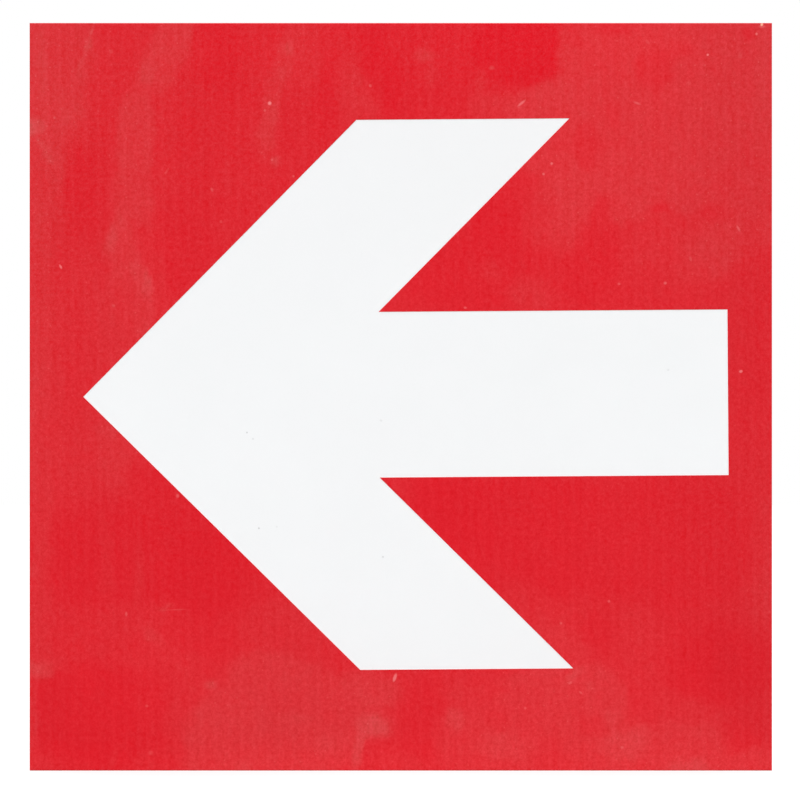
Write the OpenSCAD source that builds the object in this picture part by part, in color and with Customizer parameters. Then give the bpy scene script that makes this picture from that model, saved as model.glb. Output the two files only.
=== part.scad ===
// Wall sign with a direction arrow: a flat square plate of white plastic.
// A thin red layer covers its face right to the edges, apart from an opening in the shape of an arrow.
// The arrow is the white of the plate showing through that opening.
//
// The sign stands upright as it hangs on a wall, and its face looks along -Y.
// The origin is the centre of its flat back, +Z is up, and the arrow points along -X. Sizes are in millimetres.

/* [Plate] */
// Width of the plate
plate_w = 199.3; // [180:0.1:300]
// Height of the plate
plate_h = 200.7; // [150:0.1:280]
// Thickness of the plate
plate_t = 2; // [1:0.1:5]

/* [Red layer] */
// Thickness of the red layer on the face of the plate
red_t = 0.1; // [0.05:0.01:0.5]

/* [Arrow head] */
// Space between the tip of the arrow and the left edge of the plate
tip_margin = 14.4; // [5:0.1:40]
// Angle between the two long edges that meet at the tip
tip_angle = 90; // [70:1:110]
// Space between the end of each barb and the top or bottom edge of the plate
barb_margin = 26.5; // [10:0.1:60]
// Length of the level cut that ends each barb
barb_cut = 57.2; // [20:0.1:90]

/* [Arrow shaft] */
// Height of the shaft
shaft_h = 44.5; // [20:0.1:80]
// Space between the square end of the shaft and the right edge of the plate
shaft_margin = 11.8; // [5:0.1:50]

/* [Arrow placing] */
// Angle by which the arrow is turned about its tip, out of square with the plate
arrow_turn = 0.4; // [-1:0.1:1]

/* [Hidden] */

// Length of the arrow, from its tip to the end of its shaft
arrow_l = plate_w - tip_margin - shaft_margin;
// Height of one barb's end above the arrow's centre line
barb_h = plate_h / 2 - barb_margin;
// Distance along the arrow for each unit of height, on all four slanting edges
slant = 1 / tan(tip_angle / 2);

// The upper half of the outline, from the tip round to the end of the shaft.
// The inner edge of a barb is parallel to its outer edge, so the notch lies one cut behind the outer edge.
upper_edge = [
    [0, 0],
    [barb_h * slant, barb_h],
    [barb_h * slant + barb_cut, barb_h],
    [shaft_h / 2 * slant + barb_cut, shaft_h / 2],
    [arrow_l, shaft_h / 2],
];

// The lower half mirrors the upper one, runs back the other way and leaves out the tip.
lower_edge = [for (i = [len(upper_edge) - 1 : -1 : 1]) [upper_edge[i].x, -upper_edge[i].y]];

// Outline of the plate, about its centre
module plate_outline() {
    square([plate_w, plate_h], center = true);
}

// Outline of the arrow, turned about its tip at its place on the plate
module arrow_outline() {
    translate([tip_margin - plate_w / 2, 0])
        rotate(arrow_turn)
            polygon(concat(upper_edge, lower_edge));
}

// Stands a flat outline upright and gives it its thickness, out from the wall
module upright_sheet(thickness) {
    rotate([90, 0, 0])
        linear_extrude(thickness)
            children();
}

module plate() {
    color("#f5f6f8")
        upright_sheet(plate_t)
            plate_outline();
}

module red_field() {
    color("#de2e36")
        translate([0, -plate_t, 0])
            upright_sheet(red_t)
                difference() {
                    plate_outline();
                    arrow_outline();
                }
}

plate();
red_field();
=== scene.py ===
# %% [markdown]
# # A red wall sign with a white arrow
#
# The sign is a square of white plastic sheet, about 200 mm wide and 2 mm thick. Its face is printed red
# right to the edges, and the arrow is the bare white sheet that the print leaves open. This lesson dresses
# the measured solids of the sign: it rebuilds both pieces with the soft edges of a cut sheet, and then
# spends most of its effort on the surface, because a flat sign lives by its finish.
#
# The measured solids are loaded first, as a frame that is never moved. All places are in metres in that
# frame: +Z is up, the face looks along -Y, and the arrow points along -X.

# %% Load the measured solids
import math

import bmesh
import bpy
import numpy as np
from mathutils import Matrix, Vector, noise


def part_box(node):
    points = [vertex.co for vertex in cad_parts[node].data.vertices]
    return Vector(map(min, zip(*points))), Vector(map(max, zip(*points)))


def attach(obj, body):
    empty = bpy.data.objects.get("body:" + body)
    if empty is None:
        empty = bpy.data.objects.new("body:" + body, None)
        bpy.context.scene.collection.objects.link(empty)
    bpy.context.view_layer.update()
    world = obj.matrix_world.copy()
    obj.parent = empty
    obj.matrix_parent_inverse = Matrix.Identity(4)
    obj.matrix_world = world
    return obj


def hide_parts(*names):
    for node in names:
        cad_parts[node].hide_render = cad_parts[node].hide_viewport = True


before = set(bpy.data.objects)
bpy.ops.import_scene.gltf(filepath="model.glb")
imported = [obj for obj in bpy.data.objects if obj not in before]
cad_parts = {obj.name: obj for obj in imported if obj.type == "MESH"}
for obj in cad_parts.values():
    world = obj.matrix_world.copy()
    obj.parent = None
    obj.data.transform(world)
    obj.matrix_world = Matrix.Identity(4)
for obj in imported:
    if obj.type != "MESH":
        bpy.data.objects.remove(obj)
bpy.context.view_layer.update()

MM = 0.001
print("solids:", sorted(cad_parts))

# %% [markdown]
# ## Measures
#
# Every size comes from the frame. The plate's box gives the sheet, and the red layer's box gives the plane
# of the printed face.

# %% Read the measures
plate_low, plate_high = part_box("plate")
layer_low, layer_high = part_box("red_field")
plate_w = plate_high.x - plate_low.x
plate_h = plate_high.z - plate_low.z
plate_t = plate_high.y - plate_low.y
layer_t = layer_high.y - layer_low.y
face_y = layer_low.y
print(f"plate {plate_w / MM:.1f} x {plate_h / MM:.1f} x {plate_t / MM:.1f} mm, layer {layer_t / MM:.2f} mm")

# %% [markdown]
# ## Camera
#
# The photograph looks straight at the face, and nothing of the sides shows, so the camera is far away with
# a long lens. The sign's four edges were measured in the photograph, in its 800 pixels. They give the width
# of the whole picture at the face, and how far the sign sits from the picture's centre. The camera is moved
# sideways by that distance instead of being turned, so the edges stay level and upright.
#
# A render blends the pixels of an edge as light, and light wins over dark there: a red sign on white looks
# about a quarter of a pixel too small on each side. A small allowance makes up for it.

# %% Place the camera
PICTURE_PX = 800
LEFT_EDGE_PX = 29.83
RIGHT_EDGE_PX = 771.78
TOP_EDGE_PX = 23.26
BOTTOM_EDGE_PX = 770.25
EDGE_BLEED_PX = 0.27
LENS = 200
SENSOR = 36

across = plate_w / (RIGHT_EDGE_PX - LEFT_EDGE_PX + 2 * EDGE_BLEED_PX)
upright = plate_h / (BOTTOM_EDGE_PX - TOP_EDGE_PX + 2 * EDGE_BLEED_PX)
pixel = (across + upright) / 2
picture_w = PICTURE_PX * pixel
off_centre_x = ((LEFT_EDGE_PX + RIGHT_EDGE_PX) / 2 - PICTURE_PX / 2) * pixel
off_centre_z = (PICTURE_PX / 2 - (TOP_EDGE_PX + BOTTOM_EDGE_PX) / 2) * pixel
distance = picture_w * LENS / SENSOR

camera_data = bpy.data.cameras.new("camera")
camera_data.lens = LENS
camera_data.sensor_width = SENSOR
camera = bpy.data.objects.new("camera", camera_data)
bpy.context.scene.collection.objects.link(camera)
camera.location = (-off_centre_x, face_y - distance, -off_centre_z)
camera.rotation_euler = (math.radians(90), 0, 0)
bpy.context.scene.camera = camera
print(f"the picture is {picture_w / MM:.1f} mm wide at the face, from {distance:.2f} m away")

# %% [markdown]
# ## Small helpers for node trees
#
# Materials are built from nodes in code. A few helpers keep that readable: one adds a node and fills its
# sockets, and the others do one small thing each, such as a step of arithmetic, a mix of two colours, or a
# ramp that carries a value from one level to another. The last turns a colour as a screen shows it into the
# values that shaders use.

# %% Node helpers
def add(tree, kind, sockets=None, **settings):
    """Adds a node, sets its options, and fills its inputs with values or with other nodes' outputs."""
    node = tree.nodes.new(kind)
    for name, value in settings.items():
        setattr(node, name, value)
    for name, value in (sockets or {}).items():
        if isinstance(value, bpy.types.NodeSocket):
            tree.links.new(value, node.inputs[name])
        else:
            node.inputs[name].default_value = value
    return node


def maths(tree, operation, first, second=0.0):
    """One step of arithmetic, and its result."""
    return add(tree, "ShaderNodeMath", {0: first, 1: second}, operation=operation).outputs[0]


def mix_value(tree, share, first, second):
    """A number between two others."""
    return add(tree, "ShaderNodeMix", {0: share, 2: first, 3: second}, data_type="FLOAT").outputs[0]


def mix_colour(tree, share, first, second):
    """A colour between two others."""
    sockets = {0: share, 6: first, 7: second}
    return add(tree, "ShaderNodeMix", sockets, data_type="RGBA", clamp_factor=False).outputs[2]


def ramp(tree, value, start, end, first=0.0, last=1.0, kind="SMOOTHSTEP"):
    """Goes from first to last while the value goes from start to end, and stays level beyond them."""
    sockets = {"Value": value, "From Min": start, "From Max": end, "To Min": first, "To Max": last}
    return add(tree, "ShaderNodeMapRange", sockets, interpolation_type=kind).outputs[0]


def scaled(tree, vector, amount):
    """A place or a colour with all its parts times the same amount."""
    return add(tree, "ShaderNodeVectorMath", {0: vector, "Scale": amount}, operation="SCALE").outputs[0]


def colour(red, green, blue):
    """A colour as a screen shows it, from 0 to 255, turned into the linear values that shaders use."""
    def linear(level):
        share = level / 255
        return share / 12.92 if share <= 0.04045 else ((share + 0.055) / 1.055) ** 2.4
    return (linear(red), linear(green), linear(blue), 1.0)


print("helpers ready, and mid red is", [round(part, 3) for part in colour(222, 46, 53)])

# %% [markdown]
# ## Backdrop, floor and light
#
# The photograph's background is plain white. The world is white where the camera looks at it, and a mild
# grey for the light that it sends, so it doesn't bleach the sign. Mirror-like rays see the white backdrop
# too, but only behind the sign, where the room is also brighter, so that the back and the edges look white.
# In front of it lies the dark side of the room: a face that is looked at straight on reflects the camera's
# own place, and a bright room there would wash the red out.

# %% World
AMBIENT = 0.44
DARK_SIDE = 0.04
BRIGHT_SIDE = 0.95
BEHIND_FROM = -0.2
BEHIND_TO = 0.4
DARK_FROM = -0.97
DARK_TO = -0.75
WHITE = (1.0, 1.0, 1.0, 1.0)


def backdrop_rays(tree, behind_sign):
    """1 for rays that see the white backdrop: the camera's, transmitted ones and those mirrored behind."""
    path = add(tree, "ShaderNodeLightPath").outputs
    seen = maths(tree, "MAXIMUM", path["Is Camera Ray"], path["Is Transmission Ray"])
    mirrored = maths(tree, "MULTIPLY", path["Is Glossy Ray"], behind_sign)
    return maths(tree, "MAXIMUM", seen, mirrored)


world = bpy.data.worlds.new("studio")
world.use_nodes = True
world.cycles.sampling_method = "NONE"
bpy.context.scene.world = world
tree = world.node_tree
tree.nodes.clear()
direction = add(tree, "ShaderNodeSeparateXYZ", {0: add(tree, "ShaderNodeTexCoord").outputs["Generated"]})
behind_sign = ramp(tree, direction.outputs["Y"], BEHIND_FROM, BEHIND_TO)
room = ramp(tree, direction.outputs["Y"], DARK_FROM, DARK_TO, DARK_SIDE, AMBIENT)
room = mix_value(tree, behind_sign, room, BRIGHT_SIDE)
strength = mix_value(tree, backdrop_rays(tree, behind_sign), room, 1.0)
background = add(tree, "ShaderNodeBackground", {"Color": WHITE, "Strength": strength})
tree.links.new(background.outputs[0], add(tree, "ShaderNodeOutputWorld").inputs["Surface"])
print("world light", AMBIENT)

# %% [markdown]
# The floor is pale and matt. Where the camera sees it, a little light of its own lifts it to white, and the
# sign's soft shadow still darkens it. That extra light is for the camera's rays, and for transmitted ones
# and those mirrored behind the sign, so none of it falls on the face.

# %% Floor
FLOOR_SIZE = 6.0
FLOOR_GAP = 0.05 * MM
FLOOR_LIFT = 0.55
FLOOR_GREY = (0.5, 0.5, 0.5, 1.0)

floor_mesh = bpy.data.meshes.new("floor")
half = FLOOR_SIZE / 2
corners = [(-half, -half, 0), (half, -half, 0), (half, half, 0), (-half, half, 0)]
floor_mesh.from_pydata(corners, [], [(0, 1, 2, 3)])
floor = bpy.data.objects.new("floor", floor_mesh)
bpy.context.scene.collection.objects.link(floor)
floor.location.z = plate_low.z - FLOOR_GAP

material = bpy.data.materials.new("pale matt floor")
material.use_nodes = True
tree = material.node_tree
tree.nodes.clear()
spot = add(tree, "ShaderNodeSeparateXYZ", {0: add(tree, "ShaderNodeNewGeometry").outputs["Position"]})
seen = backdrop_rays(tree, maths(tree, "GREATER_THAN", spot.outputs["Y"], 0.0))
matt = add(tree, "ShaderNodeBsdfDiffuse", {"Color": FLOOR_GREY})
lift = add(tree, "ShaderNodeEmission", {"Strength": maths(tree, "MULTIPLY", seen, FLOOR_LIFT)})
both = add(tree, "ShaderNodeAddShader", {0: matt.outputs[0], 1: lift.outputs[0]})
tree.links.new(both.outputs[0], add(tree, "ShaderNodeOutputMaterial").inputs["Surface"])
floor_mesh.materials.append(material)
print("floor at", round(floor.location.z / MM, 2), "mm")

# %% [markdown]
# The key lamp is a large round softbox, straight in front and above the camera, so the shadow falls straight
# behind the sign. It stands well back: nearer, it would light the top of the face too much, and a sun would
# leave the bottom lighter than the top, because the pale floor throws light up. A weak sun lamp behind the
# sign gives its back some shape.

# %% Lamps
KEY_LIGHT = 2.49
KEY_AWAY = 12.0
KEY_ACROSS = 4.2
BACK_LIGHT = 0.6
BACK_SPREAD = math.radians(30)


def lamp(name, kind, azimuth, elevation):
    """A lamp that looks at the sign. Azimuth turns from the front to +X, elevation rises, in degrees."""
    data = bpy.data.lights.new(name, kind)
    holder = bpy.data.objects.new(name, data)
    bpy.context.scene.collection.objects.link(holder)
    turn, rise = math.radians(azimuth), math.radians(elevation)
    away = Vector((math.sin(turn) * math.cos(rise), -math.cos(turn) * math.cos(rise), math.sin(rise)))
    holder.location = away * KEY_AWAY
    holder.rotation_euler = away.to_track_quat("Z", "Y").to_euler()
    return data


key = lamp("key light", "AREA", azimuth=0, elevation=45)
key.shape = "DISK"
key.size = KEY_ACROSS
key.energy = KEY_LIGHT * math.pi * KEY_AWAY ** 2
back = lamp("back light", "SUN", azimuth=200, elevation=35)
back.energy = BACK_LIGHT
back.angle = BACK_SPREAD
print(f"key lamp {key.energy:.0f} W, {KEY_AWAY:.0f} m away")

# %% [markdown]
# ## Effects that several surfaces share
#
# A shader node group is a small machine with named inputs and outputs. It is built once and placed in each
# material with its own values. The sign needs three of them.
#
# The first paints one soft oval patch. It takes the level painted so far, and returns it drawn towards the
# patch's own level inside the oval. Patches placed one after another work like strokes of a brush, so a set
# of specks and scratches is a list of strokes. It serves the marks on the red, the specks on the white arrow
# and the scuffs on the back.

# %% Node groups: one painted patch
def shader_group(name, inputs, outputs):
    """A new shader node group. Each input is a name with its kind and first value, each output a name."""
    group = bpy.data.node_groups.new(name, "ShaderNodeTree")
    for title, kind, value in inputs:
        socket = group.interface.new_socket(title, in_out="INPUT", socket_type="NodeSocket" + kind)
        socket.default_value = value
    for title in outputs:
        group.interface.new_socket(title, in_out="OUTPUT", socket_type="NodeSocketFloat")
    return group, group.nodes.new("NodeGroupInput").outputs, group.nodes.new("NodeGroupOutput").inputs


def painted_patch_group():
    """One oval stroke, in the plane of the face. Places and sizes are in millimetres."""
    group, given, result = shader_group(
        "painted patch",
        [
            ("Place", "Vector", (0, 0, 0)),
            ("Centre", "Vector", (0, 0, 0)),
            ("Half Size", "Vector", (1, 1, 1)),
            ("Lean", "Vector", (0, 0, 0)),
            ("Edge", "Float", 0.5),
            ("Level", "Float", 1.0),
            ("Before", "Float", 0.0),
        ],
        ["Level"],
    )
    oval = add(
        group,
        "ShaderNodeMapping",
        {
            "Vector": given["Place"],
            "Location": given["Centre"],
            "Rotation": given["Lean"],
            "Scale": given["Half Size"],
        },
        vector_type="TEXTURE",
    )
    reach = add(group, "ShaderNodeVectorMath", {0: oval.outputs[0]}, operation="LENGTH").outputs["Value"]
    fades_from = maths(group, "SUBTRACT", 1.0, given["Edge"])
    fades_to = maths(group, "ADD", 1.0, given["Edge"])
    inside = ramp(group, reach, fades_from, fades_to, 1.0, 0.0)
    group.links.new(mix_value(group, inside, given["Before"], given["Level"]), result["Level"])
    return group


painted_patch = painted_patch_group()
print("group:", painted_patch.name, "with", len(painted_patch.nodes), "nodes")

# %% [markdown]
# The second group is mottle: noise with its own grain size along each axis. Long upright grains read as
# streaks, round ones as clouds, and tiny ones as the tooth of the plastic. Blender's noise keeps mostly
# within a quarter of its middle, so four times that swings about zero, mostly between -1 and 1, and a
# material can add it to anything.
#
# The third scatters stray specks, for the dust on the face and the back. A Voronoi texture gives each cell
# one point, and only a chosen share of the cells shows it.

# %% Node groups: mottle and stray specks
NOISE_SWING = 4.0


def mottle_group():
    """Noise about zero, mostly within -1 and 1, with a grain size in millimetres along each axis."""
    group, given, result = shader_group(
        "mottle",
        [
            ("Place", "Vector", (0, 0, 0)),
            ("Grain", "Vector", (1, 1, 1)),
            ("Detail", "Float", 2.0),
            ("Roughness", "Float", 0.5),
        ],
        ["Amount"],
    )
    grains = {0: given["Place"], 1: given["Grain"]}
    grains = add(group, "ShaderNodeVectorMath", grains, operation="DIVIDE").outputs[0]
    cloud = add(
        group,
        "ShaderNodeTexNoise",
        {"Vector": grains, "Scale": 1.0, "Detail": given["Detail"], "Roughness": given["Roughness"]},
    ).outputs[0]
    centred = maths(group, "SUBTRACT", cloud, 0.5)
    group.links.new(maths(group, "MULTIPLY", centred, NOISE_SWING), result["Amount"])
    return group


def stray_specks_group():
    """A mask of small round specks, one in a share of the cells, on any face that looks along Y."""
    group, given, result = shader_group(
        "stray specks",
        [
            ("Place", "Vector", (0, 0, 0)),
            ("Spacing", "Float", 10.0),
            ("Radius", "Float", 0.3),
            ("Share", "Float", 0.3),
        ],
        ["Mask"],
    )
    axes = add(group, "ShaderNodeSeparateXYZ", {0: given["Place"]})
    flat = add(group, "ShaderNodeCombineXYZ", {0: axes.outputs["X"], 1: axes.outputs["Z"]})
    cells = add(
        group,
        "ShaderNodeTexVoronoi",
        {"Vector": flat.outputs[0], "Scale": maths(group, "DIVIDE", 1.0, given["Spacing"])},
        voronoi_dimensions="2D",
    )
    away = maths(group, "MULTIPLY", cells.outputs["Distance"], given["Spacing"])
    inside = ramp(group, away, 0.0, given["Radius"], 1.0, 0.0)
    pick = add(group, "ShaderNodeSeparateColor", {0: cells.outputs["Color"]}).outputs["Red"]
    chosen = maths(group, "LESS_THAN", pick, given["Share"])
    group.links.new(maths(group, "MULTIPLY", inside, chosen), result["Mask"])
    return group


mottle = mottle_group()
stray_specks = stray_specks_group()
print("groups:", mottle.name, "and", stray_specks.name)

# %% [markdown]
# The materials read the place on the sign in millimetres, which keeps their numbers readable. A painted
# patch leaves the depth out, so that it goes straight through the sheet. Two helpers place the mottle and
# the specks, and one paints a whole list of patches.

# %% Helpers that place the groups
def place_in_mm(tree):
    """The place on the sign in millimetres, from the middle of its back."""
    return scaled(tree, add(tree, "ShaderNodeTexCoord").outputs["Object"], 1 / MM)


def flattened(tree, place):
    """The same place without its depth, so that a painted patch goes straight through the sheet."""
    sockets = {0: place, 1: (1.0, 0.0, 1.0)}
    return add(tree, "ShaderNodeVectorMath", sockets, operation="MULTIPLY").outputs[0]


def mottled(tree, place, grain, detail=2.0, roughness=0.5):
    """Noise about zero with this grain in millimetres."""
    sockets = {"Place": place, "Grain": grain, "Detail": detail, "Roughness": roughness}
    return add(tree, "ShaderNodeGroup", sockets, node_tree=mottle).outputs["Amount"]


def scattered(tree, place, spacing, radius, share):
    """A mask of stray specks. Spacing and radius are in millimetres, share is the share of cells with one."""
    sockets = {"Place": place, "Spacing": spacing, "Radius": radius, "Share": share}
    return add(tree, "ShaderNodeGroup", sockets, node_tree=stray_specks).outputs["Mask"]


def paint(tree, place, patches):
    """Paints patches in their order, from 0. Each is x, z, half width, half height, lean, edge, level.

    Lean is how far the top of the oval tips to the right, in degrees. Edge is how soft its rim is."""
    level = 0.0
    for x, z, half_w, half_h, lean, edge, wanted in patches:
        sockets = {
            "Place": place,
            "Centre": (x, 0.0, z),
            "Half Size": (half_w, 1.0, half_h),
            "Lean": (0.0, math.radians(lean), 0.0),
            "Edge": edge,
            "Level": wanted,
            "Before": level,
        }
        level = add(tree, "ShaderNodeGroup", sockets, node_tree=painted_patch).outputs["Level"]
    return level


print("placing helpers ready")

# %% [markdown]
# Every material of the sign has the same plan: a plain Principled shader with a colour, a roughness and a
# relief that change over the surface. Two helpers hold that plan, so each material below tells only what is
# its own.

# %% Helpers that start and wire a material
def principled_material(name):
    """A new material with a plain Principled shader, and its parts."""
    material = bpy.data.materials.new(name)
    material.use_nodes = True
    tree = material.node_tree
    return material, tree, tree.nodes["Principled BSDF"]


def wire(tree, shader, base, roughness, relief, depth):
    """Feeds the shader its colour, its roughness and a relief. Depth is the height of one unit of relief."""
    bump = add(tree, "ShaderNodeBump", {"Height": relief, "Distance": depth})
    tree.links.new(base, shader.inputs["Base Color"])
    tree.links.new(roughness, shader.inputs["Roughness"])
    tree.links.new(bump.outputs[0], shader.inputs["Normal"])


print("material helpers ready")

# %% [markdown]
# ## The clouded red
#
# Under a strong light the red is not even. Pale haze lies in the gloss where the sheet was rubbed and
# stacked: smoke-like upright streaks on the left, a wide pale field at the top right with a hard lower rim,
# and ragged clouds along the bottom. In between are islands of clean, deeper red. A texture picture could
# hold this, but a list of brush strokes, each a soft oval, keeps it procedural and easy to change.
#
# The strokes are grouped by where they lie, broad ones first. Each is x, z, half width, half height, lean,
# edge and level, as for the painted patch. A level of 0 is clean red and 1 a strong haze, and one just under
# 0 keeps the clouds of noise out as well. Places are millimetres from the middle of the sign, to the right
# and up. A later cell paints them onto the print.

# %% Haze strokes on the left
HAZE_LEFT = [
    # Broad tone of the left third, above and beside the arrow
    (-76, 62, 22, 60, 0, 0.5, 0.36),
    (-70, 10, 30, 30, 0, 0.5, 0.40),
    (-94, 80, 10, 32, 0, 0.3, 0.64),
    (-88, 93, 6, 12, 0, 0.5, 0.56),
    (-97, 20, 4, 55, 0, 0.4, 0.50),
    (-97.5, -10, 3, 18, 0, 0.5, 0.62),
    (-85, -12, 12, 15, 0, 0.5, 0.37),
    # Clean red between the streaks
    (-85, 56, 6, 14, 0, 0.5, 0.22),
    (-49, 89, 6.5, 15, 0, 0.5, 0.19),
    (-57, 42, 8, 17, 0, 0.4, 0.22),
    (-54, 68, 7, 18, 0, 0.5, 0.27),
    (-20, 80, 3.5, 10, 0, 0.6, 0.19),
    (-86, 8, 4, 16, 0, 0.7, 0.33),
    # The long smoke streak that runs down to the arrow
    (-63.5, 93, 5, 13, 18, 0.3, 0.62),
    (-68.2, 87, 1.5, 4, 5, 0.7, 0.78),
    (-57.5, 98, 1.2, 2, 10, 0.8, 0.74),
    (-71, 69, 4.5, 15, 4, 0.25, 0.62),
    (-71.5, 53, 5, 10, 0, 0.3, 0.58),
    (-75.5, 42, 3.8, 7, 12, 0.3, 0.64),
    (-77.4, 42.5, 1.6, 3, 10, 0.7, 0.88),
    (-74.4, 48, 0.9, 3, -5, 0.8, 0.78),
    (-76, 33, 3.2, 6, 0, 0.6, 0.58),
    (-69.5, 44, 1.6, 3.5, -10, 0.5, 0.35),
    (-70.6, 33, 2.2, 6, -20, 0.4, 0.72),
    (-68.3, 30, 1.1, 5, -5, 0.5, 1.05),
    (-69.5, 22, 3.5, 7, 0, 0.4, 0.58),
    (-69.3, 18.5, 1.5, 2, 0, 0.8, 0.72),
    (-77, 17, 5, 11, 0, 0.8, 0.46),
    # A thin bright streak beside it, and its faint tail
    (-83.2, 97, 0.9, 3.5, 15, 0.6, 0.82),
    (-84.6, 93.8, 0.9, 2.2, 10, 0.6, 0.98),
    (-86, 88, 0.9, 3.2, 15, 0.6, 0.90),
    (-88.5, 81, 1.3, 5, 12, 0.8, 0.62),
    (-90, 75.5, 0.8, 1.8, 0, 0.8, 0.80),
    # Rubbed spots at the left edge
    (-96.6, 87, 1.0, 16, 0, 0.8, 0.80),
    (-98.8, 72.5, 1.9, 2.4, 0, 0.5, 1.35),
    (-96.6, 72.5, 1.3, 1.6, 0, 0.8, 0.95),
    (-94.4, 66, 1.9, 2.8, 10, 0.5, 0.78),
    (-96, 66.8, 0.6, 2.8, -30, 0.6, 0.98),
    (-93.8, 63.6, 1.0, 0.9, 0, 0.7, 0.98),
    (-97.5, 46, 1.6, 7, 0, 0.7, 0.62),
    # The second streak, left of the arrow's upper barb
    (-25.5, 92, 3.5, 10, 0, 0.6, 0.42),
    (-31, 92, 2.6, 9, 12, 0.6, 0.54),
    (-34, 82, 2.6, 6, 10, 0.5, 0.52),
    (-36, 72, 2.6, 8, 10, 0.5, 0.62),
    (-30.5, 93.7, 0.9, 1.4, 0, 0.6, 0.95),
    (-31.8, 86.5, 0.8, 2.6, 10, 0.8, 0.68),
    (-34.6, 76, 1.6, 3.2, 0, 0.7, 0.72),
    (-34.4, 62.3, 1.2, 1.5, 0, 0.6, 0.90),
]
print(len(HAZE_LEFT), "strokes on the left")

# %% Haze strokes along the top and on the right
HAZE_TOP_AND_RIGHT = [
    # Clean red in the middle of the top, with one pale spot
    (4, 88, 20, 17, 0, 0.3, 0.24),
    (-12.5, 82, 4, 9, 0, 0.5, 0.46),
    (-8.6, 78, 1.1, 4, 0, 0.7, 0.46),
    (-7.5, 93, 2.8, 8, 0, 0.5, 0.12),
    (-2.5, 83, 2.8, 8, 0, 0.5, 0.10),
    (6, 91.6, 2.8, 1.7, -5, 0.5, 0.54),
    (7.5, 91, 1.2, 1, 0, 0.7, 0.78),
    (8, 87, 1.6, 4, 0, 0.7, 0.36),
    (30.5, 93.5, 12, 10.5, 0, 0.2, 0.08),
    (35, 88, 6, 4, 30, 0.3, 0.08),
    (21.6, 83, 1.2, 3, 0, 0.7, 0.42),
    (27, 77.5, 8, 3.5, 0, 0.5, 0.48),
    (38, 79, 10, 4.6, -26, 0.3, 0.64),
    # The wide pale field at the top right
    (72, 76, 31, 28, 0, 0.12, 0.60),
    (56, 94, 14.5, 13, 0, 0.1, 0.57),
    (46, 82, 6, 6, 0, 0.3, 0.62),
    (92, 92, 14, 18, 0, 0.4, 0.62),
    (45, 56, 8.5, 16, 0, 0.14, 0.62),
    (37, 66, 7, 8, -40, 0.3, 0.56),
    (93, 52, 12, 14, 0, 0.2, 0.54),
    (61, 49, 5, 5, 0, 0.3, 0.60),
    (97.8, 88, 2.2, 16, 0, 0.7, 0.70),
    # Cleaner islands in it
    (69, 88, 5.5, 5.5, 0, 0.3, 0.42),
    (76, 93, 2.4, 2.4, 0, 0.6, 0.46),
    (57.5, 99.5, 5, 2.4, 0, 0.5, 0.36),
    (93, 97.8, 1.8, 1.6, 0, 0.5, 0.40),
    (46, 97.5, 2.4, 3, 0, 0.6, 0.42),
    (50, 67, 4, 6, -15, 0.4, 0.42),
    (57, 76, 2.4, 4, 0, 0.5, 0.46),
    (70, 50.6, 3.2, 1.3, 10, 0.4, 0.26),
    (83.3, 48, 3.8, 3.8, 0, 0.5, 0.33),
    # Under its rim, down to the shaft
    (51, 36, 8, 12, 20, 0.25, 0.20),
    (55, 47, 2.6, 5, 0, 0.5, 0.30),
    (62.5, 43, 3, 3.5, 0, 0.5, 0.28),
    (20, 33, 19, 11, 0, 0.25, 0.18),
    (25, 46, 7, 8, 0, 0.4, 0.14),
    (37, 48, 4, 8, 0, 0.5, 0.44),
    (44, 43, 4, 4, 0, 0.5, 0.52),
    (34, 27, 6, 4, 0, 0.7, 0.48),
    (24, 33, 3, 2.5, 0, 0.8, 0.34),
    (73, 38, 14, 10, 0, 0.4, 0.43),
    (86, 40, 9, 8, 0, 0.5, 0.60),
    (69, 30, 5, 6, 0, 0.6, 0.32),
    # The narrow strip right of the shaft, and below it
    (94, 5, 8, 36, 0, 0.3, 0.30),
    (95.5, 6, 3, 22, 0, 0.7, 0.25),
    (97.5, -43, 4.5, 16, 0, 0.4, 0.46),
]
print(len(HAZE_TOP_AND_RIGHT), "strokes along the top and on the right")

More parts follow.
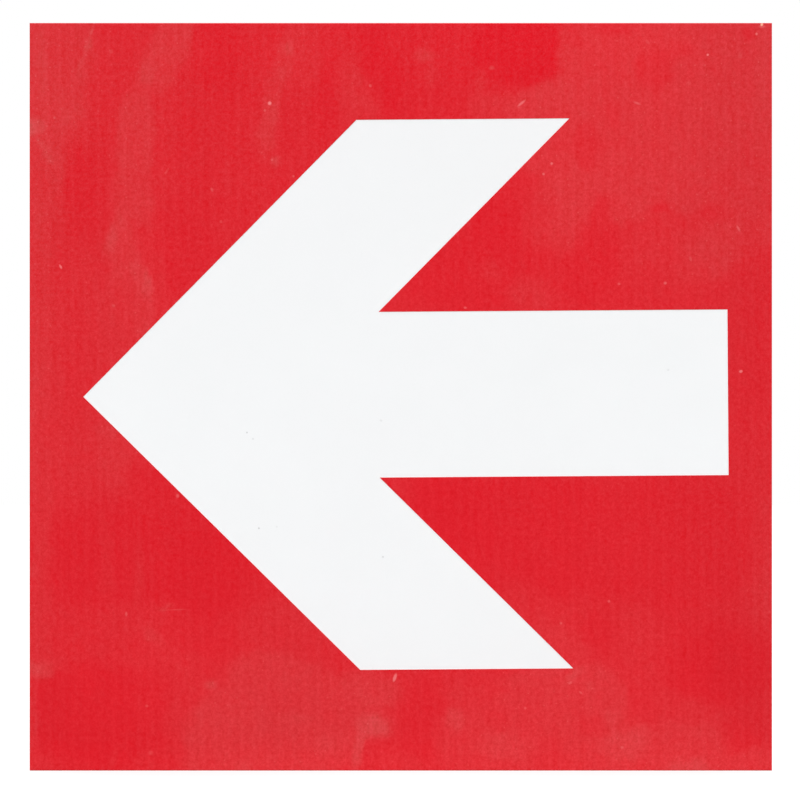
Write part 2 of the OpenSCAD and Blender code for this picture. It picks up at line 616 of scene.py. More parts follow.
# %% Haze strokes along the bottom
HAZE_BOTTOM = [
    # Clean red left of the lower barb, with faint upright lines
    (-66, -45, 33, 18, 0, 0.35, 0.08),
    (-53, -48, 9, 10, -20, 0.35, -0.05),
    (-83, -66, 12, 9, 0, 0.5, 0.24),
    (-79, -42, 1.4, 16, 0, 0.8, 0.26),
    (-71, -50, 1.4, 11, 0, 0.8, 0.27),
    (-96.5, -42, 2.4, 28, 0, 0.8, 0.40),
    (-98.8, -46, 1.2, 3, 0, 0.6, 0.56),
    (-78, -9.5, 3.2, 2.4, 45, 0.6, 0.74),
    (-77, -15, 5, 6, 0, 0.8, 0.50),
    (-68.3, -18.5, 2, 1.2, 45, 0.7, 0.50),
    (-65, -25, 9, 5, 45, 0.5, 0.14),
    # Deep red corner at the bottom left
    (-83, -86, 17, 14, 0, 0.25, 0.01),
    (-93, -85, 6, 9, 0, 0.5, -0.05),
    (-66, -85, 6, 10, 0, 0.5, 0.12),
    (-66, -98, 6, 3, 0, 0.5, 0.28),
    (-77, -97, 1.2, 4, 30, 0.8, 0.28),
    (-99, -90, 1.2, 14, 0, 0.7, 0.36),
    # Smears
    (-96.8, -73, 4, 2.6, 0, 0.5, 0.68),
    (-98.6, -73, 1.6, 1.6, 0, 0.7, 0.88),
    (-99, -63, 1.4, 6, 0, 0.6, 0.46),
    (-72, -60, 13, 5, 0, 0.6, 0.28),
    (-51, -65, 9, 6, 0, 0.5, 0.16),
    (-62.8, -57.2, 2.2, 0.5, -3, 0.6, 0.62),
    (-57.8, -57.5, 1.2, 0.5, 0, 0.6, 0.56),
    (-65.5, -65, 4.2, 1.7, 45, 0.6, 0.54),
    (-60.5, -72.3, 3.6, 0.9, 35, 0.7, 0.38),
    (-56.3, -77.5, 3.6, 0.9, 60, 0.7, 0.38),
    (-60, -87, 2.2, 8, 0, 0.8, 0.32),
    # Ragged cloud along the bottom, with the brightest wedge at its right end
    (-28, -62, 15, 10, -20, 0.45, 0.34),
    (-35, -91, 23, 16, 0, 0.10, 0.60),
    (-32, -77, 15, 8, 10, 0.20, 0.56),
    (-14, -82, 9, 8, 0, 0.3, 0.55),
    (-56, -98.5, 3.6, 2.6, 0, 0.5, 0.62),
    (-51, -77.4, 1.6, 1.2, 20, 0.6, 0.90),
    (-54, -86, 1.6, 2, 0, 0.7, 0.70),
    (-28, -87, 3.5, 2, 0, 0.8, 0.72),
    (-20, -94, 3, 2, 0, 0.8, 0.74),
    (-42.5, -99, 2, 1.6, 0, 0.7, 0.84),
    (-8, -79, 7, 5, 0, 0.4, 0.62),
    (6.5, -88, 7.5, 13, 0, 0.3, 0.16),
    (2, -99, 8, 3, 0, 0.6, 0.44),
    (-7.6, -88.8, 4.4, 3, 18, 0.4, 1.00),
    (-11, -93.5, 2, 6.5, 12, 0.4, 1.00),
    # Clean red under the shaft
    (30, -38, 35, 18, 0, 0.25, 0.10),
    (14, -31, 13, 8, 45, 0.5, 0.02),
    (72, -40, 24, 20, 0, 0.3, 0.15),
    (36, -58, 12, 5, 45, 0.6, 0.33),
    (43, -66, 8, 4, 45, 0.5, 0.47),
    (53, -63, 3.5, 6, 0, 0.5, 0.15),
    (64, -66, 4.5, 10, 0, 0.5, 0.34),
    (86, -72, 14, 12, 0, 0.35, 0.07),
    # Clouds along the bottom right
    (36, -93, 27, 15, 0, 0.15, 0.52),
    (19, -80, 6, 4, 0, 0.5, 0.40),
    (38, -76, 12, 3, 0, 0.5, 0.62),
    (50, -82, 11, 10, -20, 0.2, 0.57),
    (73, -98, 26, 12, 0, 0.22, 0.58),
    (75, -84, 10, 4, 10, 0.5, 0.38),
    (60, -94, 6, 5, 0, 0.5, 0.82),
    (55.6, -86, 2, 2.6, 0, 0.7, 0.80),
    (77, -99, 5, 2.2, 0, 0.6, 0.98),
    (15, -86.5, 3.2, 3, 0, 0.35, 0.74),
    (28, -94, 6, 4, 0, 0.5, 0.72),
    (40, -96, 4.5, 5, 0, 0.4, 0.44),
    (51, -88, 3.6, 3.6, 0, 0.5, 0.42),
    (26, -86, 5, 3, 0, 0.6, 0.44),
    (66, -86.5, 3.5, 2, 30, 0.5, 0.34),
    (92, -90, 5.5, 7, 0, 0.5, 0.20),
    (96, -98, 5, 3, 0, 0.6, 0.58),
    (47, -75.6, 2.2, 1.2, -40, 0.6, 0.94),
    (50.6, -78, 1.6, 0.8, 45, 0.7, 0.78),
]
print(len(HAZE_BOTTOM), "strokes along the bottom")

# %% [markdown]
# The print is also a little brighter in a broad upright field right of the middle and along the top and
# bottom edges, and darker towards the left and right edges. A part of that is the print's own, and a part
# is painted light: the light here leaves the bottom edge too dark, so the print is painted brighter along
# it. The same kind of strokes paint it, far softer. A level is the share of brightness that is added or
# taken away.

# %% Tone strokes, partly painted light
TONE_AND_PAINTED_LIGHT = [
    (32, 0, 46, 150, 0, 0.8, 0.018),
    (45, 99, 62, 10, 0, 0.8, 0.045),
    (-30, 97, 26, 9, 0, 0.8, 0.014),
    (-92, 70, 12, 45, 0, 0.8, -0.022),
    (93, 0, 18, 120, 0, 0.8, -0.024),
    (95, 70, 14, 40, 0, 0.8, -0.042),
    (-68, -77, 26, 17, 0, 0.7, 0.028),
    (42, -88, 46, 22, 0, 0.8, 0.050),
    (94, -70, 12, 18, 0, 0.8, -0.040),
    (-98, -92, 9, 18, 0, 0.8, -0.030),
    # Painted light: this strip along the bottom edge is painted brighter to make up for the shade that the
    # scene leaves there.
    (25, -103, 130, 9, 0, 0.8, 0.110),
]
print(len(TONE_AND_PAINTED_LIGHT), "strokes of tone")

# %% [markdown]
# ## Specks, scratches and a chip
#
# Strokes that are small and nearly hard are the specks and short scratches that years of dust leave. They
# are finer than the print's own points can hold, so the painted patch group paints them in the material.
# Where the print is scratched through, the white sheet glows pink in the red. At the top edge, close to the
# right corner, a chip has come off the print.

# %% Marks on the red
PALE_MARKS = [
    (-35.2, 78.8, 0.45, 0.45, 0, 0.5, 0.6),
    (-36.5, 76.9, 0.3, 0.35, 0, 0.5, 0.2),
    (-28.8, 59.2, 0.3, 0.3, 0, 0.5, 0.2),
    (-48.3, 47.0, 0.4, 0.4, 0, 0.5, 0.12),
    (-83.0, 98.0, 0.3, 0.7, 20, 0.6, 0.12),
    (-34.6, 63.6, 0.3, 0.3, 0, 0.6, 0.2),
    (-8.2, 83.5, 0.4, 0.4, 0, 0.6, 0.18),
    (32.4, 78.8, 0.3, 1.25, 50, 0.5, 0.34),
    (40.5, 62.6, 0.35, 0.35, 0, 0.5, 0.36),
    (38.3, 59.8, 0.35, 0.3, 0, 0.5, 0.32),
    (63.4, 78.8, 0.95, 0.28, 20, 0.5, 0.18),
    (66.3, 95.2, 0.35, 0.8, -40, 0.6, 0.08),
    (77.3, 84.1, 0.6, 0.6, 0, 0.7, 0.07),
    (82.4, 91.8, 0.3, 0.3, 0, 0.5, 0.5),
    (95.5, 97.4, 0.3, 0.35, 0, 0.5, 0.35),
    (24.4, 88.3, 0.7, 0.5, 0, 0.7, 0.12),
    (17.3, 23.9, 0.4, 0.3, 0, 0.5, 0.25),
    (77.8, 37.0, 0.3, 0.6, -20, 0.5, 0.14),
    (91.1, 91.6, 0.5, 0.8, 20, 0.7, 0.06),
    (80.6, 77.3, 0.35, 0.4, 0, 0.6, 0.11),
    (97.0, 99.4, 0.8, 0.4, 0, 0.6, 0.2),
    (90.6, 45.2, 0.3, 0.8, -30, 0.5, 0.2),
    (71.0, 30.5, 0.4, 0.35, 0, 0.6, 0.3),
    (58.6, 30.3, 0.35, 0.3, 0, 0.6, 0.2),
    (91.3, 6.8, 0.45, 0.35, -20, 0.5, 0.5),
    (-91.3, 34.9, 0.28, 0.6, -30, 0.5, 0.42),
    (-77.1, 24.4, 0.4, 0.4, 0, 0.6, 0.14),
    (-62.8, 60.6, 0.3, 0.9, 30, 0.6, 0.08),
    (-77.8, 92.7, 0.5, 0.5, 0, 0.6, 0.08),
    (-50.7, 55.6, 0.35, 0.5, -30, 0.6, 0.15),
    (-93.0, 74.9, 0.3, 0.3, 0, 0.6, 0.16),
    (-59.9, -26.6, 0.4, 0.5, 0, 0.6, 0.25),
    (-73.7, -58.3, 0.3, 0.55, 0, 0.5, 0.18),
    (-61.0, -57.2, 3.6, 0.16, -2, 0.5, 0.08),
    (-68.2, -83.0, 0.4, 0.35, 0, 0.6, 0.14),
    (-67.1, -95.6, 0.6, 0.5, 0, 0.7, 0.1),
    (-1.6, -75.4, 0.4, 1.1, 20, 0.4, 0.5),
    (43.0, -60.8, 0.35, 0.3, 0, 0.6, 0.2),
    (45.5, -76.8, 0.5, 0.3, -40, 0.6, 0.2),
    (48.3, -79.4, 0.5, 0.25, 40, 0.6, 0.2),
    (33.4, -83.6, 0.35, 0.3, 0, 0.6, 0.18),
    (55.9, -54.9, 0.35, 0.35, 0, 0.6, 0.22),
    (59.4, -94.1, 0.4, 0.35, 0, 0.6, 0.2),
]
CHIP = [
    (96.9, 99.95, 0.32, 0.4, 20, 0.5, 0.85),
]
print(len(PALE_MARKS), "pale marks and a chip")

# %% [markdown]
# ## The red print
#
# The finish has three kinds of change. Haze draws the clean red towards a paler one, and is a little duller.
# Tone is a broad change of brightness, partly the print's own and partly painted light along the bottom edge.
# Thin ink lets some of the white sheet through, which lightens all
# three colours alike: it shows as the upright bands that a print head leaves, and as fine grain.
#
# The bands were measured in the photograph: one every 3.44 mm, leaning a little to the left like the rest of
# the print, each a narrow light line beside a broader dark one. A sine wave and its own square make that
# form.

# %% Colours and bands of the print
CLEAN_RED = colour(221, 18, 34)
HAZED_RED = colour(217, 59, 63)
THIN_INK_RED = colour(252, 90, 102)
SCRATCH_PINK = colour(255, 150, 150)
CHIP_PEACH = colour(255, 190, 160)
BAND_PITCH = 3.44
BAND_START = 0.78
BAND_LEAN = -0.004
BAND_SHARPNESS = 0.5


def print_bands(tree, place):
    """The even bands of the print head, about zero."""
    axes = add(tree, "ShaderNodeSeparateXYZ", {0: place}).outputs
    across = maths(tree, "SUBTRACT", axes["X"], maths(tree, "MULTIPLY", axes["Z"], BAND_LEAN))
    turns = maths(tree, "MULTIPLY", maths(tree, "SUBTRACT", across, BAND_START), 2 * math.pi / BAND_PITCH)
    wave = maths(tree, "SINE", turns)
    squared_about_zero = maths(tree, "SUBTRACT", maths(tree, "MULTIPLY", wave, wave), 0.5)
    return maths(tree, "ADD", wave, maths(tree, "MULTIPLY", squared_about_zero, BAND_SHARPNESS))


print(f"a print band every {BAND_PITCH} mm")

# %% [markdown]
# The colour is built up in the order in which the real one came about: the ink and its haze, then the ink's
# uneven thickness, then the broad tone. The haze is made a little less strong at its weak end by a power,
# and hazed parts are cloudier and grainier than clean ones. A grain is the size of the noise along each
# axis, in millimetres, and a weight is the share of thin ink or of brightness that it adds.

# %% The colour of the print
HAZE_CURVE = 1.25
UNEVEN_CLEAN = 0.07
UNEVEN_HAZED = 0.13
THIN_IN_CLEAN = 0.7
CLOUD_GRAIN = (4.5, 1, 6)
STREAK_GRAIN = (0.9, 1, 16)
FINE_GRAIN = (1.2, 1, 1.2)
DRIFT_GRAIN = (12, 1, 24)
BAND_WEIGHT = 0.016
STREAK_WEIGHT = 0.028
FINE_WEIGHT = 0.21
DRIFT_WEIGHT = 0.03


def weighted(tree, parts, start=0.0):
    """A start with several amounts added to it, each times its weight."""
    total = start
    for amount, weight in parts:
        total = maths(tree, "ADD", total, maths(tree, "MULTIPLY", amount, weight))
    return total


def clouded(tree, flat, haze):
    """The painted haze with clouds of its own, finer than the painting."""
    uneven = weighted(tree, [(haze, UNEVEN_HAZED)], start=UNEVEN_CLEAN)
    clouds = mottled(tree, flat, CLOUD_GRAIN, detail=3.0, roughness=0.9)
    return maths(tree, "MAXIMUM", weighted(tree, [(clouds, uneven)], start=haze), 0.0)


def print_colour(tree, flat, haze, tone):
    """The red at each place, before its marks."""
    inked = mix_colour(tree, maths(tree, "POWER", haze, HAZE_CURVE), CLEAN_RED, HAZED_RED)
    bands = print_bands(tree, flat)
    streaks = mottled(tree, flat, STREAK_GRAIN)
    grain = mottled(tree, flat, FINE_GRAIN, detail=3.0, roughness=1.0)
    thin_ink = weighted(tree, [(bands, BAND_WEIGHT), (streaks, STREAK_WEIGHT), (grain, FINE_WEIGHT)])
    thin_ink = maths(tree, "MULTIPLY", thin_ink, maths(tree, "ADD", haze, THIN_IN_CLEAN))
    uneven = mix_colour(tree, thin_ink, inked, THIN_INK_RED)
    drift = mottled(tree, flat, DRIFT_GRAIN, detail=4.0, roughness=0.95)
    return scaled(tree, uneven, weighted(tree, [(tone, 1.0), (drift, DRIFT_WEIGHT)], start=1.0))


print("clean red and hazed red, linear:", [round(part, 3) for part in CLEAN_RED[:3] + HAZED_RED[:3]])

# %% [markdown]
# The material reads the two painted attributes of the print, haze and tone, which come further down. Over
# the colour go the marks, and a scatter of dust in the haze that is too faint to place one by one. The
# relief is that of a smooth film, so it barely breaks the soft reflection of the room.

# %% Red print material
DUST_WEIGHT = 0.22
PRINT_SPECULAR = 0.3
PRINT_ROUGHNESS = 0.31
HAZE_ROUGHNESS = 0.08
SKIN_GRAIN = (1.6, 1.6, 1.6)
SKIN_RELIEF = 0.002 * MM


def red_print():
    """The clouded red, read from the painted attributes, under its marks and dust."""
    material, tree, shader = principled_material("red print")
    flat = flattened(tree, place_in_mm(tree))
    painted_haze = add(tree, "ShaderNodeAttribute", attribute_name="haze").outputs["Fac"]
    # The tone attribute is partly the print's own brightness and partly painted light that brightens the
    # bottom edge.
    painted_tone_and_light = add(tree, "ShaderNodeAttribute", attribute_name="tone").outputs["Fac"]
    haze = clouded(tree, flat, painted_haze)
    base = print_colour(tree, flat, haze, painted_tone_and_light)
    dust = maths(tree, "MULTIPLY", scattered(tree, flat, spacing=3.4, radius=0.32, share=0.4), haze)
    base = mix_colour(tree, maths(tree, "MULTIPLY", dust, DUST_WEIGHT), base, SCRATCH_PINK)
    base = mix_colour(tree, paint(tree, flat, PALE_MARKS), base, SCRATCH_PINK)
    base = mix_colour(tree, paint(tree, flat, CHIP), base, CHIP_PEACH)
    roughness = weighted(tree, [(haze, HAZE_ROUGHNESS)], start=PRINT_ROUGHNESS)
    wire(tree, shader, base, roughness, mottled(tree, flat, SKIN_GRAIN), SKIN_RELIEF)
    shader.inputs["Specular IOR Level"].default_value = PRINT_SPECULAR
    return material


red_material = red_print()
print("red print has", len(red_material.node_tree.nodes), "nodes")

# %% [markdown]
# ## The white sheet
#
# The arrow is the bare sheet. It is a cool white with a satin skin, nearly even: faint clouds a shade
# apart, and a handful of dark specks. The floor throws a little of the print's own red back at the lower
# half, which the light in the photograph doesn't, so the white is a shade lighter and cooler at the bottom.

# %% White sheet face
# Painted light: the white runs from LOW_WHITE at the bottom to HIGH_WHITE at the top, against the red that
# the floor throws back.
LOW_WHITE = colour(248, 251, 252)
HIGH_WHITE = colour(243, 244, 245)
WHITE_SPAN = 75.0
FACE_CLOUD_GRAIN = (22, 22, 22)
FACE_TOOTH_GRAIN = (0.6, 1, 0.6)
FACE_SHADE = 0.018
FACE_ROUGHNESS = 0.36
CLOUD_ROUGHNESS = 0.04
SPECK_DARK = colour(112, 113, 115)
DARK_MARKS = [
    (-41.3, -9.6, 0.22, 0.22, 0, 0.5, 0.34),
    (-39.7, -11.3, 0.25, 0.25, 0, 0.5, 0.18),
    (-38.1, -35.3, 0.22, 0.22, 0, 0.5, 0.40),
    (-33.3, -34.9, 0.25, 0.25, 0, 0.5, 0.10),
    (-5.3, -6.4, 0.35, 0.25, 20, 0.5, 0.14),
    (-4.8, -43.0, 0.25, 0.25, 0, 0.5, 0.25),
    (71.8, 7.2, 0.35, 0.25, -20, 0.5, 0.13),
]


def white_face():
    """The bare sheet in the arrow: faint clouds, a few dark specks, and painted light that makes the white
    lighter and cooler towards the bottom.
    """
    material, tree, shader = principled_material("white sheet face")
    flat = flattened(tree, place_in_mm(tree))
    broad = mottled(tree, flat, FACE_CLOUD_GRAIN, detail=3.0)
    tooth = mottled(tree, flat, FACE_TOOTH_GRAIN, detail=1.0)
    clouds = weighted(tree, [(broad, 0.5), (tooth, 0.2)])
    # Painted light: the white changes with height, lighter and cooler towards the bottom.
    height = add(tree, "ShaderNodeSeparateXYZ", {0: flat}).outputs["Z"]
    painted_light_rise = ramp(tree, height, -WHITE_SPAN, WHITE_SPAN, kind="LINEAR")
    white = mix_colour(tree, painted_light_rise, LOW_WHITE, HIGH_WHITE)
    base = scaled(tree, white, weighted(tree, [(clouds, -FACE_SHADE)], start=1.0))
    base = mix_colour(tree, paint(tree, flat, DARK_MARKS), base, SPECK_DARK)
    roughness = weighted(tree, [(clouds, CLOUD_ROUGHNESS)], start=FACE_ROUGHNESS)
    wire(tree, shader, base, roughness, mottled(tree, flat, SKIN_GRAIN), SKIN_RELIEF)
    return material


face_material = white_face()
print("face of the sheet:", len(DARK_MARKS), "dark specks")

# %% [markdown]
# The back isn't in the photograph. It is made as the backs of such signs are: the same sheet without the
# print, a little duller, with the faint upright lines that drawing the sheet through its rollers leaves, and
# a few scuffs from stacking.

# %% White sheet back
SHEET_WHITE = colour(247, 248, 250)
BACK_SHADE = colour(240, 241, 242)
BACK_CLOUD_GRAIN = (18, 18, 30)
DRAWN_LINE_GRAIN = (1.3, 1, 90)
BACK_TOOTH_GRAIN = (1.2, 1.2, 1.2)
BACK_DUST_WEIGHT = 0.4
BACK_ROUGHNESS = 0.42
BACK_RELIEF = 0.006 * MM
BACK_SCUFFS = [
    (-52, 38, 13, 0.3, 24, 0.6, 0.16),
    (-38, 30, 5, 0.25, 18, 0.6, 0.12),
    (46, 61, 9, 0.28, -38, 0.6, 0.14),
    (63, -22, 16, 0.35, 52, 0.6, 0.12),
    (-20, -58, 11, 0.3, -16, 0.6, 0.14),
    (22, 12, 4, 2.6, 0, 0.7, 0.05),
    (-71, -74, 6, 3.2, 30, 0.7, 0.06),
    (82, 84, 3.5, 5, 20, 0.7, 0.05),
]


def white_back():
    """The plain back: drawn lines, dust and scuffs."""
    material, tree, shader = principled_material("white sheet back")
    flat = flattened(tree, place_in_mm(tree))
    broad = mottled(tree, flat, BACK_CLOUD_GRAIN, detail=4.0)
    drawn_lines = mottled(tree, flat, DRAWN_LINE_GRAIN)
    clouds = weighted(tree, [(broad, 0.4), (drawn_lines, 0.2)])
    base = mix_colour(tree, maths(tree, "ADD", 0.5, clouds), SHEET_WHITE, BACK_SHADE)
    dust = scattered(tree, flat, spacing=9.0, radius=0.3, share=0.35)
    base = mix_colour(tree, maths(tree, "MULTIPLY", dust, BACK_DUST_WEIGHT), base, SPECK_DARK)
    scuffs = paint(tree, flat, BACK_SCUFFS)
    base = mix_colour(tree, scuffs, base, SPECK_DARK)
    roughness = weighted(tree, [(clouds, 0.05), (scuffs, 0.8)], start=BACK_ROUGHNESS)
    tooth = mottled(tree, flat, BACK_TOOTH_GRAIN, detail=3.0)
    relief = weighted(tree, [(tooth, 1.0), (drawn_lines, 0.6), (dust, 1.0)])
    wire(tree, shader, base, roughness, relief, BACK_RELIEF)
    return material


back_material = white_back()
print("back of the sheet:", len(BACK_SCUFFS), "scuffs")

# %% [markdown]
# The cut edge has no skin. A guillotine leaves it smooth near the face, where the blade goes in, and torn
# towards the back, where the sheet breaks.

# %% Cut edge
TORN_SHADE = colour(232, 233, 234)
SMOOTH_TO = -0.65
TORN_FROM = -0.45
SMOOTH_ROUGHNESS = 0.38
TORN_ROUGHNESS = 0.62
SMOOTH_RELIEF = 0.3
EDGE_GRAIN = (0.25, 3.0, 0.25)
EDGE_RELIEF = 0.02 * MM


def cut_edge():
    """Smooth near the face and torn behind. Depths are shares of the thickness, from the back."""
    material, tree, shader = principled_material("cut edge")
    place = place_in_mm(tree)
    depth = add(tree, "ShaderNodeSeparateXYZ", {0: place}).outputs["Y"]
    torn = ramp(tree, depth, SMOOTH_TO * plate_t / MM, TORN_FROM * plate_t / MM)
    base = mix_colour(tree, torn, SHEET_WHITE, TORN_SHADE)
    roughness = mix_value(tree, torn, SMOOTH_ROUGHNESS, TORN_ROUGHNESS)
    lines = mottled(tree, place, EDGE_GRAIN, detail=3.0)
    relief = maths(tree, "MULTIPLY", lines, mix_value(tree, torn, SMOOTH_RELIEF, 1.0))
    wire(tree, shader, base, roughness, relief, EDGE_RELIEF)
    return material


edge_material = cut_edge()
print("edge of the sheet: smooth for", round((1 + SMOOTH_TO) * plate_t / MM, 2), "mm from the face")

# %% [markdown]
# ## The sheet
#
# A guillotine presses the face down a little before it cuts, so the face rolls over at its rim, while the
# back edge stays sharp. The face is therefore a grid of points whose depth follows from how far each one
# lies in from the outline. The grid lines stand close together on the rolled rim. The print uses the same
# rule for its own grid, so it follows the sheet exactly.

# %% The rolled face
ROLL_W = 0.25 * MM
ROLL_DROP = 0.08 * MM
ROLL_STEPS = 5


def grid_lines(length, step):
    """Places across the sheet: a step apart on the flat, and closer together on the rolled rim."""
    flat = length / 2 - ROLL_W
    count = max(1, round(2 * flat / step))
    inner = [flat * (2 * number / count - 1) for number in range(count + 1)]
    turns = [math.radians(90 * number / ROLL_STEPS) for number in range(1, ROLL_STEPS + 1)]
    outer = [flat + ROLL_W * math.sin(turn) for turn in turns]
    return [-place for place in reversed(outer)] + inner + outer


def rolled_depth(x, z):
    """How far the face drops at this place: nothing on the flat, and a quarter of an ellipse at the rim."""
    inward = min(plate_w / 2 - abs(x), plate_h / 2 - abs(z))
    share = max(0.0, 1 - inward / ROLL_W)
    return ROLL_DROP * (1 - math.sqrt(max(0.0, 1 - share * share)))


def rolled_face(shape, front, step):
    """A grid over the whole face, with its flat at the depth of front."""
    columns = grid_lines(plate_w, step)
    rows = grid_lines(plate_h, step)
    points = [[shape.verts.new((x, front + rolled_depth(x, z), z)) for x in columns] for z in rows]
    for lower, upper in zip(points, points[1:]):
        for i in range(len(columns) - 1):
            shape.faces.new((lower[i], lower[i + 1], upper[i + 1], upper[i]))


print(len(grid_lines(plate_w, plate_w)), "grid lines cross the white sheet")

# %% Build the sheet
# The edge's and the back's places in the sheet's list of materials. Every polygon starts with the first, 0.
EDGE, BACK = 1, 2
BACK_EASE = 0.05 * MM
SMOOTH_BELOW = math.radians(40)


def finished(shape, name, materials):
    """Turns a bmesh into a piece with smooth rounds and sharp corners, and its materials."""
    bmesh.ops.recalc_face_normals(shape, faces=shape.faces)
    for face in shape.faces:
        face.smooth = True
    mesh = bpy.data.meshes.new(name)
    shape.to_mesh(mesh)
    shape.free()
    mesh.set_sharp_from_angle(angle=SMOOTH_BELOW)
    for material in materials:
        mesh.materials.append(material)
    piece = bpy.data.objects.new(name, mesh)
    bpy.context.scene.collection.objects.link(piece)
    return piece


def drawn_back(shape, rim, depth, inset, slot):
    """Extrudes a closed rim back to a depth and in from the outline. Returns the new rim."""
    grown = bmesh.ops.extrude_edge_only(shape, edges=rim)["geom"]
    for item in grown:
        if isinstance(item, bmesh.types.BMVert):
            item.co.y = depth
            item.co.x *= 1 - 2 * inset / plate_w
            item.co.z *= 1 - 2 * inset / plate_h
        elif isinstance(item, bmesh.types.BMFace):
            item.material_index = slot
    return [item for item in grown if isinstance(item, bmesh.types.BMEdge)]


def white_sheet():
    """The rolled face, drawn back over the edge to the eased corner, and closed by the back."""
    shape = bmesh.new()
    rolled_face(shape, plate_low.y, plate_w)
    rim = [edge for edge in shape.edges if edge.is_boundary]
    rim = drawn_back(shape, rim, plate_high.y - BACK_EASE, 0.0, EDGE)
    rim = drawn_back(shape, rim, plate_high.y, BACK_EASE, EDGE)
    for face in bmesh.ops.contextual_create(shape, geom=rim)["faces"]:
        face.material_index = BACK
    return finished(shape, "white_sheet", [face_material, edge_material, back_material])


sheet = white_sheet()
print(sheet.name, len(sheet.data.polygons), "faces")

# %% [markdown]
# ## The print
#
# The print lies on the sheet and follows its rolled rim. Its arrow-shaped opening is taken from the measured
# solid, so its outline isn't written out again: the flat front of that solid is bounded by two loops of
# edges, and the one that stays off the outline is the arrow.

# %% Find the arrow in the measured solid
TINY = 0.001 * MM
TO_THE_FRONT = -0.99


def arrow_outline():
    """The sides of the arrow, each as its two ends in x and z, from the front of the red layer."""
    shape = bmesh.new()
    shape.from_mesh(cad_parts["red_field"].data)
    bmesh.ops.remove_doubles(shape, verts=shape.verts, dist=TINY)
    front = [face for face in shape.faces if face.normal.y < TO_THE_FRONT]
    sides = []
    for edge in shape.edges:
        if sum(face in front for face in edge.link_faces) != 1:
            continue
        ends = [Vector((vert.co.x, vert.co.z)) for vert in edge.verts]
        if max(abs(end.x) for end in ends) < plate_w / 2 - TINY:
            sides.append(ends)
    shape.free()
    return sides


arrow = arrow_outline()
print("the arrow has", len(arrow), "sides")

# %% [markdown]
# The print is one fine grid over the whole face, a millimetre apart. Each side of the arrow cuts the cells
# that it crosses, the cells inside the arrow are taken away, and the rest is given its thickness.

# %% Build the print
CELL = 1.0 * MM
CLOSE_BY = 1.5 * CELL


def along_side(face, start, end):
    """Whether a cell lies close to one side of the arrow."""
    middle = face.calc_center_median()
    place = Vector((middle.x, middle.z))
    way = end - start
    share = min(1.0, max(0.0, (place - start).dot(way) / way.length_squared))
    return (place - start - share * way).length < CLOSE_BY


def inside_arrow(face):
    """Whether a cell lies in the arrow: a ray from it to the right meets an odd number of sides."""
    middle = face.calc_center_median()
    met = 0
    for start, end in arrow:
        if (start.y > middle.z) != (end.y > middle.z):
            meets = start.x + (middle.z - start.y) * (end.x - start.x) / (end.y - start.y)
            met += meets > middle.x
    return met % 2 == 1


def red_layer():
    """The grid of the print with the arrow cut out of it, and its thickness."""
    shape = bmesh.new()
    rolled_face(shape, layer_low.y, CELL)
    for start, end in arrow:
        cells = [face for face in shape.faces if along_side(face, start, end)]
        edges = {edge for face in cells for edge in face.edges}
        corners = {vert for face in cells for vert in face.verts}
        across = (end.y - start.y, 0, start.x - end.x)
        bmesh.ops.bisect_plane(
            shape,
            geom=cells + list(edges) + list(corners),
            dist=TINY,
            plane_co=(start.x, layer_low.y, start.y),
            plane_no=across,
        )
    gone = [face for face in shape.faces if inside_arrow(face)]
    bmesh.ops.delete(shape, geom=gone, context="FACES")
    skin = list(shape.faces)
    grown = bmesh.ops.extrude_face_region(shape, geom=skin, use_keep_orig=True)["geom"]
    behind = [item for item in grown if isinstance(item, bmesh.types.BMVert)]
    bmesh.ops.translate(shape, verts=behind, vec=(0, layer_t, 0))
    return finished(shape, "red_print_layer", [red_material])


layer = red_layer()
print(layer.name, len(layer.data.polygons), "faces")

# %% [markdown]
# ## Painting the haze
#
# The haze strokes could be nodes too, but over a hundred of them would slow every ray. The print already has
# a point every millimetre, so the strokes are painted once onto those points, as a vertex artist would with
# a soft brush, and the red material reads the result as an attribute called haze. The strokes of tone fill a
# second one. Noise moves each point a little before it is painted, so that no rim of a stroke is a clean
# oval. Each noise has its grain across, its grain upright and how far it moves a point, in millimetres, and
# the slice of noise that it is read from. Blender seeds this noise from the clock unless the script does it,
# so it gets a fixed seed, and every run paints the same haze.

# %% Paint the haze onto the print
START_HAZE = 0.30
START_TONE = -0.007
RAGGED = [(15, 20, 1.4, 0.0), (3, 4.5, 1.3, 7.0)]
NOISE_SEED = 7


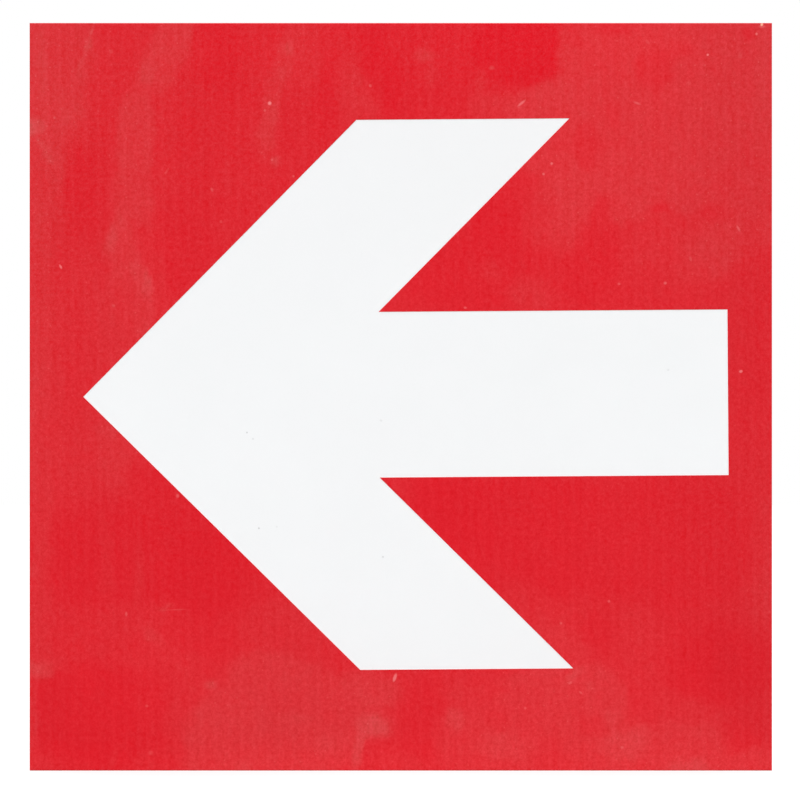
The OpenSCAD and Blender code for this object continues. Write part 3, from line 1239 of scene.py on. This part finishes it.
def ragged_places(mesh):
    """Each point's x and z in millimetres, moved a little by broad and by fine noise."""
    places = []
    for vert in mesh.vertices:
        x, z = vert.co.x / MM, vert.co.z / MM
        moved_x, moved_z = x, z
        for grain_x, grain_z, shift, part in RAGGED:
            push = noise.noise_vector(Vector((x / grain_x, part, z / grain_z)))
            moved_x += shift * push.x
            moved_z += shift * push.z
        places.append((moved_x, moved_z))
    return np.array(places).T


def painted(x, z, strokes, level):
    """The level at each place after these strokes, in their order."""
    for middle_x, middle_z, half_w, half_h, lean, edge, wanted in strokes:
        turn = math.radians(lean)
        across = (x - middle_x) * math.cos(turn) - (z - middle_z) * math.sin(turn)
        along = (x - middle_x) * math.sin(turn) + (z - middle_z) * math.cos(turn)
        reach = np.hypot(across / half_w, along / half_h)
        inside = np.clip((1 + edge - reach) / (2 * edge), 0, 1)
        inside = inside * inside * (3 - 2 * inside)
        level = level + (wanted - level) * inside
    return level


def give(mesh, name, values):
    """Stores one number for each point of the mesh, under this name."""
    attribute = mesh.attributes.new(name, "FLOAT", "POINT")
    attribute.data.foreach_set("value", values.astype(np.float32))
    print(f"{name} from {values.min():.2f} to {values.max():.2f}, {values.mean():.2f} on average")


noise.seed_set(NOISE_SEED)
x, z = ragged_places(layer.data)
strokes = HAZE_LEFT + HAZE_TOP_AND_RIGHT + HAZE_BOTTOM
give(layer.data, "haze", painted(x, z, strokes, np.full(len(x), START_HAZE)))
give(layer.data, "tone", painted(x, z, TONE_AND_PAINTED_LIGHT, np.full(len(x), START_TONE)))

# %% [markdown]
# ## Put the pieces in place
#
# Each new piece stands for the solid that it dresses, and rides on the sign's only body.

# %% Ride and replace
for piece, node, finish in ((sheet, "plate", "white_plastic"), (layer, "red_field", "red_layer")):
    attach(piece, "root")
    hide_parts(node)

# %% [markdown]
# ## Colour
#
# The Standard view shows a colour as it is written.

# %% Finish
bpy.context.scene.view_settings.view_transform = "Standard"
